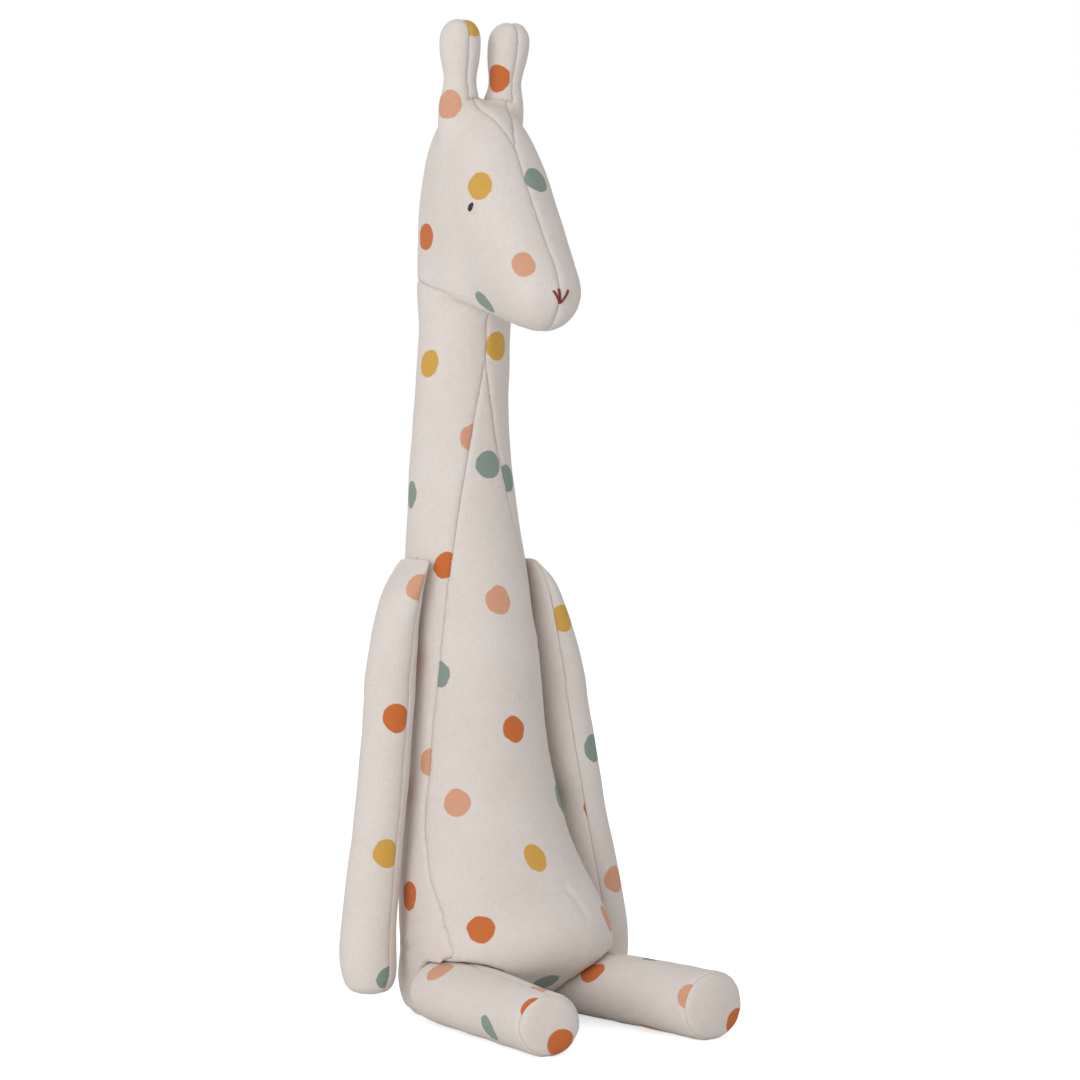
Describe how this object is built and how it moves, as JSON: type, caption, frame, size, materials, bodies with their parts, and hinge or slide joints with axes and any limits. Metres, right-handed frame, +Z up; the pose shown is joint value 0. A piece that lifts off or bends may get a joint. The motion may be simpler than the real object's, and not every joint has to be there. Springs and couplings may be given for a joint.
{
  "type": "plush giraffe",
  "caption": "Slim stuffed cloth giraffe that sits upright on a flat seat, with a long neck, club horns, and arms and legs hinged at their sewn ends.",
  "frame": {"origin": "middle of the flat face that the body sits on, under the hips, at floor level", "axes": "+Z up along the body and neck, -Y the way the face and feet point, +X its own left side"},
  "size_m": [0.1844, 0.2188, 0.563],
  "materials": {
    "linen": "plain woven linen and cotton with printed dots about 14 mm across",
    "fibre_fill": "loose polyester fibre",
    "pellet_bag": "plain cloth bag of plastic pellets",
    "black_thread": "satin stitch in black embroidery thread",
    "red_thread": "satin stitch in dark red embroidery thread"
  },
  "bodies": {
    "torso": {"body_side_right": "linen", "body_side_left": "linen", "belly_gusset": "linen", "seat_panel": "linen", "head_side_right": "linen", "head_side_left": "linen", "crown_gusset": "linen", "horn_right_inner": "linen", "horn_left_inner": "linen", "body_stuffing": "fibre_fill", "head_stuffing": "fibre_fill", "horn_right_stuffing": "fibre_fill", "horn_left_stuffing": "fibre_fill", "pellet_bag": "pellet_bag", "eye_right": "black_thread", "eye_left": "black_thread", "nose_stitches": "red_thread"},
    "arm_right": {"arm_right_outer": "linen", "arm_right_inner": "linen", "arm_right_stuffing": "fibre_fill"},
    "arm_left": {"arm_left_outer": "linen", "arm_left_inner": "linen", "arm_left_stuffing": "fibre_fill"},
    "leg_right": {"leg_right_outer": "linen", "leg_right_inner": "linen", "sole_right": "linen", "leg_right_stuffing": "fibre_fill"},
    "leg_left": {"leg_left_outer": "linen", "leg_left_inner": "linen", "sole_left": "linen", "leg_left_stuffing": "fibre_fill"}
  },
  "joints": [
    {"name": "shoulder_right", "type": "hinge", "parent": "torso", "child": "arm_right", "pos_m": [-0.03743, 0.04339, 0.255], "axis": [0, 1, 0], "range_deg": [0, 110]},
    {"name": "shoulder_left", "type": "hinge", "parent": "torso", "child": "arm_left", "pos_m": [0.03743, 0.04339, 0.255], "axis": [0, -1, 0], "range_deg": [0, 110]},
    {"name": "hip_right", "type": "hinge", "parent": "torso", "child": "leg_right", "pos_m": [-0.041, -0.003, 0.018], "axis": [-1, 0, 0], "range_deg": [-85, 8]},
    {"name": "hip_left", "type": "hinge", "parent": "torso", "child": "leg_left", "pos_m": [0.041, -0.003, 0.018], "axis": [-1, 0, 0], "range_deg": [-85, 8]}
  ]
}
